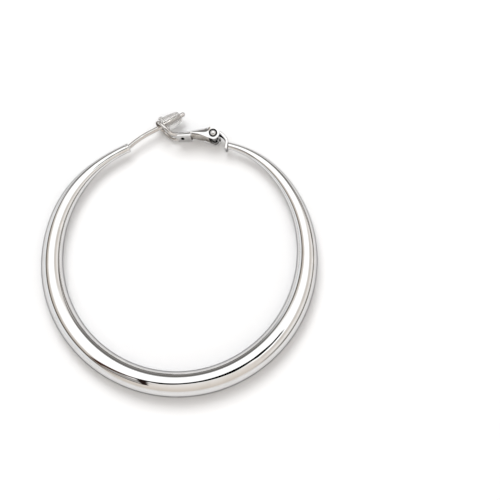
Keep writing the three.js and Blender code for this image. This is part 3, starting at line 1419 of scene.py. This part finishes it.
    def close_free_end(self, piece: bpy.types.Object) -> None:
        """Closes the strip's free end.

        Args:
            piece: the strip in edit mode.
        """
        far = self.on_strip(1, 0).x
        select_edges(piece, lambda a, b: abs(a.x - far) < TOUCHING and abs(b.x - far) < TOUCHING)
        bpy.ops.mesh.edge_face_add()

    def face_outwards(self, piece: bpy.types.Object) -> None:
        """Turns the shell's faces so that the crown looks away from the hoop.

        Args:
            piece: the channel before its wall gets its thickness.
        """
        crown = max(piece.data.polygons, key=lambda face: face.center.y)
        if crown.normal.y < 0:
            with editing(piece):
                bpy.ops.mesh.select_all(action="SELECT")
                bpy.ops.mesh.flip_normals()

    def hole_cutter(self) -> bpy.types.Object:
        """Makes the cutter of the small hole in the folded plate.

        Returns:
            The cutter.
        """
        deselect()
        bpy.ops.mesh.primitive_cylinder_add(
            vertices=self.hole_sides,
            radius=self.hole_length / 2,
            depth=2 * self.wall,
            location=self.hole_middle,
            rotation=(math.pi / 2, 0, 0),
        )
        bpy.context.object.scale = (1, self.hole_width / self.hole_length, 1)
        return named("hole_cutter")

    def loop(self) -> bpy.types.Object:
        """Makes the wire loop: from the strip's end, round the post and back.

        Returns:
            The piece.
        """
        plan = self.plan
        half = (self.loop_width - self.loop_wire) / 2
        elbow = self.on_strip(self.elbow_along, self.elbow_rise)
        clear = (plan.post_diameter + self.loop_wire) / 2 + self.loop_post_gap
        far = plan.crossing + plan.post_ahead * self.loop_ahead + plan.post_outward * clear
        back = (elbow - far).normalized()
        length = (elbow - far).length
        side = [
            self.on_strip(self.loop_root, self.neck_height, self.neck_half),
            self.on_strip(self.loop_exit, self.neck_height, self.neck_half),
            elbow + UP * (half + self.neck_half) / 2,
            far + back * (length + self.loop_turn) / 2 + UP * half,
        ]
        turns = []
        for angle in range(self.loop_turn_end, -self.loop_turn_end - 1, -self.loop_turn_step):
            run = self.loop_turn * (1 - math.cos(math.radians(angle)))
            turns.append(far + back * run + UP * half * math.sin(math.radians(angle)))
        level = 2 * plan.hinge.z
        other = [Vector((place.x, place.y, level - place.z)) for place in reversed(side)]
        course = Course([*side, *turns, *other])
        rings = rings_along(course, self.loop_wire / 2, self.loop_sections)
        piece = swept("clip_loop", rings, self.wire_sides)
        shade(piece, WIRE_SHADING)
        return piece

    def solder(self, side: Side) -> bpy.types.Object:
        """Makes the small fillet of solder where the wire enters the strip.

        Args:
            side: the side of the clip.

        Returns:
            The piece.
        """
        radius = self.loop_wire * self.solder_share
        middle = self.on_strip(1, self.neck_height, side.value * self.neck_half)
        profile = quarter_round(0, 0, radius, -self.solder_turn, self.solder_turn, self.solder_steps)
        rings = turned_rings(middle, Vector((-1, 0, 0)), profile)
        piece = swept(f"solder_{side.name.lower()}", rings, self.wire_sides)
        shade(piece, WIRE_SHADING)
        return piece

    def leaf(self) -> bpy.types.Object:
        """Makes the leaf spring that lies on the folded plate and reaches to the knuckle.

        Returns:
            The piece.
        """
        level = -self.keeper_drop + self.wall + self.leaf_lift + self.leaf_thickness / 2
        end = self.leaf_end / self.length
        course = Course(
            [
                self.on_strip(1 - self.leaf_root / self.length, level),
                self.on_strip(self.keeper_share, level),
                self.on_strip((self.keeper_share + end) / 2, level - self.leaf_sag * self.leaf_bow),
                self.on_strip(end, level - self.leaf_sag),
            ]
        )
        piece = flat_swept(
            "leaf_spring", course, self.leaf_thickness, self.leaf_width, self.leaf_sections
        )
        ease_edges(piece, self.leaf_edge, segments=self.leaf_edge_steps)
        shade(piece)
        return piece

    def paint_shade_in_hole(self, piece: bpy.types.Object, dark: bpy.types.Material) -> None:
        """Gives the small hole's wall the near-black finish of a recess, as painted shade inside the
        hole.

        Args:
            piece: the channel.
            dark: the near-black finish that paints the shade.
        """
        just_past_wall = 0.51
        piece.data.materials.append(dark)
        for face in piece.data.polygons:
            off = face.center - self.hole_middle
            share = math.hypot(off.x / self.hole_length, off.z / self.hole_width)
            if share < just_past_wall and 0 < off.y < self.wall:
                face.material_index = 1

    def build(self, finishes: Finishes) -> None:
        """Builds and dresses the clip's pieces.

        Args:
            finishes: the earring's materials.
        """
        channel = self.channel()
        fitted(channel, Body.CLIP, finishes.pressed, ["clip_lever"])
        # Painted shade: the small hole's wall gets the near-black finish.
        self.paint_shade_in_hole(channel, finishes.dark)
        fitted(self.loop(), Body.CLIP, finishes.drawn)
        for side in Side:
            fitted(self.solder(side), Body.CLIP, finishes.drawn)
        fitted(self.leaf(), Body.CLIP, finishes.steel, ["spring_leaf"])


@dataclass
class Rivet:
    """The hinge's rivet: a shank, and at each end a dome that stands in a dark ring of painted
    shade.
    """

    plan: Plan
    ear_outside: float = 2.15 * MM
    shank_diameter: float = 0.7 * MM
    head_height: float = 0.26 * MM
    head_sides: int = 48
    dome_diameter: float = 1.06 * MM
    dome_turn: float = 80
    dome_steps: int = 10
    dimple_diameter: float = 0.14 * MM
    dimple_wall: float = 0.8
    dimple_rim: float = 0.07 * MM
    dimple_floor: float = 0.3
    dimple_depth: float = 0.09 * MM
    seat_diameter: float = 1.55 * MM
    seat_overlap: float = 0.03 * MM
    seat_sunk: float = 0.02 * MM
    seat_proud: float = 0.04 * MM
    seat_sides: int = 64

    def head(self, side: Side) -> bpy.types.Object:
        """Makes half of the rivet: its shank and a domed head with a tiny dimple on its crown.

        Args:
            side: the side of the clip.

        Returns:
            The piece.
        """
        radius = self.dome_diameter / 2
        shank = self.shank_diameter / 2
        dimple = self.dimple_diameter / 2
        base = self.ear_outside
        crown = base + self.head_height
        profile = [
            (shank, 0.0),
            (shank, base),
            *(
                (radius * out, base + self.head_height * up)
                for out, up in quarter_round(0, 0, 1, 0, self.dome_turn, self.dome_steps)
            ),
            (dimple, crown),
            (dimple * self.dimple_wall, crown - self.dimple_rim),
            (dimple * self.dimple_floor, crown - self.dimple_depth),
        ]
        rings = turned_rings(self.plan.hinge, UP * side.value, profile)
        piece = swept(f"rivet_head_{side.name.lower()}", rings, self.head_sides)
        shade(piece)
        return piece

    def seat(self, side: Side) -> bpy.types.Object:
        """Makes the near-black ring round the dome: painted shade for the gap between the dome and
        the ear.

        Args:
            side: the side of the clip.

        Returns:
            The piece.
        """
        outer = self.seat_diameter / 2
        inner = self.dome_diameter / 2 - self.seat_overlap
        low = self.ear_outside - self.seat_sunk
        high = self.ear_outside + self.seat_proud
        profile = [(inner, low), (outer, low), (outer, high), (inner, high), (inner, low)]
        rings = turned_rings(self.plan.hinge, UP * side.value, profile)
        piece = swept(f"rivet_shade_ring_{side.name.lower()}", rings, self.seat_sides, bored=True)
        shade(piece, angle=20)
        return piece

    def build(self, finishes: Finishes) -> None:
        """Builds and dresses the rivet's pieces.

        Args:
            finishes: the earring's materials.
        """
        for side in Side:
            nodes = ["hinge_rivet"] if side is Side.UPPER else []
            fitted(self.head(side), Body.HOOP, finishes.plate, nodes)
            # Painted shade: the near-black ring round each dome.
            fitted(self.seat(side), Body.HOOP, finishes.dark)


@dataclass
class Nut:
    """The clear nut: a rounded flange and a bullet body, drilled for the post."""

    plan: Plan
    start: float = 0.76 * MM
    length: float = 3.84 * MM
    flange_diameter: float = 3.4 * MM
    flange_thickness: float = 0.94 * MM
    flange_round: float = 0.4 * MM
    flange_steps: int = 7
    body_diameter: float = 2.75 * MM
    nose_diameter: float = 1.45 * MM
    nose_turn: float = 82
    nose_steps: int = 14
    bore_clearance: float = 0.05 * MM
    sides: int = 64

    def shell(self) -> bpy.types.Object:
        """Makes the nut with its bore.

        Returns:
            The piece.
        """
        plan = self.plan
        bore = plan.post_diameter / 2 + self.bore_clearance
        edge = self.flange_round
        flange = self.flange_diameter / 2 - edge
        body = self.body_diameter / 2
        nose = self.nose_diameter / 2
        run = self.length - self.flange_thickness
        profile = [
            (bore, 0),
            *quarter_round(flange, edge, edge, -90, 0, self.flange_steps),
            *quarter_round(flange, self.flange_thickness - edge, edge, 0, 90, self.flange_steps),
            *(
                (nose + (body - nose) * out, self.flange_thickness + run * up)
                for out, up in quarter_round(0, 0, 1, 0, self.nose_turn, self.nose_steps)
            ),
            (nose, self.length),
            (bore, self.length),
            (bore, 0),
        ]
        rings = turned_rings(plan.crossing + plan.post_ahead * self.start, plan.post_ahead, profile)
        piece = swept("nut_shell", rings, self.sides, bored=True)
        shade(piece, angle=35)
        return piece

    def build(self, finishes: Finishes) -> None:
        """Builds and dresses the nut."""
        fitted(self.shell(), Body.NUT, finishes.plastic, ["ear_nut"])


@dataclass(frozen=True)
class Panel:
    """A flat panel of the light tent, seen as a soft-edged rectangle of one brightness.

    toward: its middle as seen from the table. lean: degrees that it is turned about that way.
    half_width and half_height: tangents of its half angles. edge: how soft its edges are.
    """

    name: str
    toward: tuple[float, float, float]
    lean: float
    half_width: float
    half_height: float
    edge: float
    colour: Colour


TENT_PANELS = (
    Panel("pale_wedge", (-0.42, -0.47, 0.776), 50, 0.2, 0.13, 0.04, (0.4, 0.385, 0.37, 1)),
    Panel("low_seam", (-0.5035, -0.57, 0.65), -51, 0.205, 0.03, 0.012, (0.02, 0.012, 0.01, 1)),
    Panel("brown_seam", (-0.47, -0.317, 0.824), 28, 0.3, 0.05, 0.02, (0.06, 0.022, 0.012, 1)),
    Panel("long_seam", (-0.2975, -0.459, 0.837), 70, 0.31, 0.026, 0.012, (0.02, 0.012, 0.01, 1)),
    Panel("slit_start", (-0.14, -0.145, 0.98), 38, 0.115, 0.085, 0.015, (0.008, 0.005, 0.004, 1)),
    Panel("slit", (-0.008, -0.09, 0.995), 2, 0.085, 0.11, 0.012, (0.003, 0.003, 0.003, 1)),
    Panel("slit_wide", (0.13, -0.13, 0.985), -23, 0.105, 0.14, 0.012, (0.003, 0.003, 0.003, 1)),
    Panel("slit_end", (0.245, -0.1, 0.965), 59, 0.095, 0.11, 0.015, (0.003, 0.003, 0.003, 1)),
    Panel("corner_seam", (0.72, 0.563, 0.407), -43, 0.3, 0.035, 0.02, (0.05, 0.035, 0.028, 1)),
)


@dataclass(frozen=True)
class TentStop:
    """A stop in the brightness of one side of the light tent.

    elevation: degrees above the table. level: brightness. warmth: red less blue, as a share.
    """

    elevation: float
    level: float
    warmth: float = 0.0

    @property
    def colour(self) -> Colour:
        """The stop's colour."""
        tint = self.warmth / 2
        return (self.level * (1 + tint), self.level, self.level * (1 - tint), 1)


class TentSide(Enum):
    """The four sides of the light tent, from the table's edge to overhead."""

    EAST = (
        TentStop(0, 0.62, 0.1),
        TentStop(6, 0.4, 0.12),
        TentStop(9, 0.03, 0.2),
        TentStop(12, 0.06, 0.2),
        TentStop(15, 0.6, 0.1),
        TentStop(24, 0.95, 0.05),
        TentStop(34, 0.86, 0.1),
        TentStop(44, 0.62, 0.16),
        TentStop(54, 0.7, 0.1),
        TentStop(58, 1.05, 0.02),
        TentStop(62, 1.3),
    )
    NORTH = (
        TentStop(0, 0.45, 0.02),
        TentStop(4, 0.1, 0.1),
        TentStop(8, 0.2, 0.1),
        TentStop(13, 0.34, 0.06),
        TentStop(18, 0.16, 0.1),
        TentStop(25, 0.2, 0.1),
        TentStop(28, 0.05, 0.1),
        TentStop(30, 0.08, 0.1),
        TentStop(32, 0.42, 0.04),
        TentStop(35, 0.4, 0.04),
        TentStop(37, 0.1, 0.06),
        TentStop(39, 1.3),
    )
    WEST = (
        TentStop(0, 0.8, -0.04),
        TentStop(9, 0.9, -0.05),
        TentStop(19, 0.95, -0.02),
        TentStop(26, 0.5, 0.1),
        TentStop(28, 0.03, 0.3),
        TentStop(33, 0.04, 0.4),
        TentStop(36, 0.4, 0.26),
        TentStop(52, 0.72, 0.14),
        TentStop(57, 1.1, 0.02),
        TentStop(61, 1.3),
    )
    SOUTH = (
        TentStop(0, 0.84, 0.03),
        TentStop(8, 0.8, 0.05),
        TentStop(13, 0.62, 0.2),
        TentStop(22, 0.66, 0.2),
        TentStop(40, 0.74, 0.16),
        TentStop(60, 0.84, 0.1),
        TentStop(80, 0.92, 0.04),
        TentStop(83, 1.3),
    )


@dataclass
class Studio:
    """The pale table, the light tent round it, the key light and the camera.

    corner: the span over which one side of the tent gives way to the next. facing: how squarely a
    panel has to be faced before it starts to show, and before it shows in full.
    """

    table_size: float = 6.0
    focal: float = 159.26
    sensor: float = 36.0
    nearest: float = 0.01
    camera_place: tuple = (0.039633, -0.096077, 0.388915)
    camera_right: tuple = (0.997616, 0, -0.069014)
    camera_up: tuple = (0.016650, 0.970462, 0.240681)
    camera_back: tuple = (0.066976, -0.241256, 0.968148)
    key_place: tuple = (-0.07, 0.38, 0.68)
    key_size: float = 0.38
    key_power: float = 2.5
    tent_strength: float = 1.18
    corner: tuple[float, float] = (0.25, 0.75)
    facing: tuple[float, float] = (0.0, 0.02)
    least_facing: float = 0.001
    least_level: float = 1e-6
    seam_wave: float = 0.05
    seam_scale: float = 1.7

    def table(self) -> None:
        """Lays the table top under the earring."""
        deselect()
        bpy.ops.mesh.primitive_plane_add(size=self.table_size)
        top = named("table_top")
        top.data.materials.append(PaleTable().material())

    def panel_group(self) -> bpy.types.NodeTree:
        """Makes the group that says how far a direction lies inside a panel.

        Returns:
            The group.
        """
        takes = {
            "Direction": (0, 0, 1),
            "Toward": (0, 0, 1),
            "Right": (1, 0, 0),
            "Up": (0, 1, 0),
            "Half Width": 1.0,
            "Half Height": 1.0,
            "Edge": 0.05,
        }
        graph, taken, given = new_group("tent_panel", takes, ["Mask"])
        facing = graph.dot(taken["Direction"], taken["Toward"])
        safe = graph.math("MAXIMUM", facing, self.least_facing)
        mask = graph.ranged(facing, *self.facing)
        for way, half in (("Right", "Half Width"), ("Up", "Half Height")):
            across = graph.math("DIVIDE", graph.dot(taken["Direction"], taken[way]), safe)
            off = graph.math("ABSOLUTE", across)
            outer = graph.math("ADD", taken[half], taken["Edge"])
            inner = graph.math("SUBTRACT", taken[half], taken["Edge"])
            mask = graph.math("MULTIPLY", mask, graph.ranged(off, inner, outer, 1.0, 0.0))
        graph.put(given["Mask"], mask)
        return graph.tree

    def side_light(
        self, graph: Graph, side: TentSide, lift: bpy.types.NodeSocket
    ) -> bpy.types.NodeSocket:
        """Makes the brightness of one side of the tent.

        Args:
            graph: the world's nodes.
            side: the side.
            lift: the elevation, as a share of a right angle.

        Returns:
            Its colour.
        """
        ramp = graph.add("ValToRGB", {"Fac": lift})
        stops = ramp.color_ramp.elements
        anywhere = 0.5
        while len(stops) < len(side.value):
            stops.new(anywhere)
        for stop, given in zip(stops, side.value):
            stop.position = given.elevation / 90
            stop.color = given.colour
        return ramp.outputs["Color"]

    def tent_light(self, graph: Graph, direction: bpy.types.NodeSocket) -> bpy.types.NodeSocket:
        """Makes the brightness of the tent's four sides, each giving way to the next at a corner.

        Args:
            graph: the world's nodes.
            direction: the way that is looked.

        Returns:
            Its colour.
        """
        parts = graph.add("SeparateXYZ", {0: direction}).outputs
        sway = graph.add("TexNoise", {"Vector": direction, "Scale": self.seam_scale, "Detail": 1.0})
        swing = graph.math("SUBTRACT", sway.outputs["Fac"], 0.5)
        wave = graph.math("MULTIPLY", swing, self.seam_wave)
        lift = graph.math("MULTIPLY", graph.math("ARCSINE", parts["Z"]), 2 / math.pi)
        lift = graph.math("ADD", lift, wave)
        east, north, west, south = (self.side_light(graph, side, lift) for side in TentSide)
        across = graph.mix(graph.math("LESS_THAN", parts["X"]), east, west)
        along = graph.mix(graph.math("LESS_THAN", parts["Y"]), north, south)
        x_part = graph.math("MULTIPLY", parts["X"], parts["X"])
        y_part = graph.math("MULTIPLY", parts["Y"], parts["Y"])
        level = graph.math("MAXIMUM", graph.math("ADD", x_part, y_part), self.least_level)
        turned = graph.ranged(graph.math("DIVIDE", x_part, level), *self.corner)
        return graph.mix(turned, along, across)

    def tent(self) -> None:
        """Makes the world: bands of brightness by height, with panels laid over them."""
        world = bpy.data.worlds.new("light_tent")
        bpy.context.scene.world = world
        world.use_nodes = True
        graph = Graph(world.node_tree)
        direction = graph.add("TexCoord").outputs["Generated"]
        light = self.tent_light(graph, direction)
        group = self.panel_group()
        for panel in TENT_PANELS:
            toward = Vector(panel.toward).normalized()
            spin = Quaternion(toward, math.radians(panel.lean))
            right = spin @ Vector((toward.z, 0, -toward.x)).normalized()
            values = {
                "Direction": direction,
                "Toward": toward,
                "Right": right,
                "Up": toward.cross(right),
                "Half Width": panel.half_width,
                "Half Height": panel.half_height,
                "Edge": panel.edge,
            }
            mask = graph.add("Group", values, node_tree=group).outputs["Mask"]
            light = graph.mix(mask, light, panel.colour)
        background = graph.add("Background", {"Color": light, "Strength": self.tent_strength})
        graph.add("OutputWorld", {"Surface": background.outputs[0]})

    def key(self) -> None:
        """Hangs the soft key light that gives the shadows their side."""
        lamp = bpy.data.lights.new("key", "AREA")
        lamp.size = self.key_size
        lamp.energy = self.key_power
        holder = bpy.data.objects.new("key", lamp)
        bpy.context.scene.collection.objects.link(holder)
        holder.location = self.key_place
        holder.rotation_euler = Vector(self.key_place).to_track_quat("Z", "Y").to_euler()
        holder.visible_glossy = False

    def camera(self) -> None:
        """Sets up the camera at the photograph's angle."""
        data = bpy.data.cameras.new("camera")
        data.lens = self.focal
        data.sensor_width = self.sensor
        data.clip_start = self.nearest
        holder = bpy.data.objects.new("camera", data)
        bpy.context.scene.collection.objects.link(holder)
        turn = Matrix((self.camera_right, self.camera_up, self.camera_back)).transposed()
        holder.matrix_world = Matrix.Translation(self.camera_place) @ turn.to_4x4()
        bpy.context.scene.camera = holder

    def build(self) -> None:
        """Builds the studio."""
        self.camera()
        self.table()
        self.tent()
        self.key()
        bpy.context.scene.view_settings.view_transform = "Standard"


def main() -> None:
    """Builds the earring, piece by piece, in its studio."""
    logging.basicConfig(level=logging.INFO, format="%(name)s: %(message)s")
    plan = plan_from_frame()
    finishes = Finishes()
    Studio().build()
    for assembly in (Hoop(plan), Clip(plan), Rivet(plan), Nut(plan)):
        assembly.build(finishes)


if __name__ == "__main__":
    main()
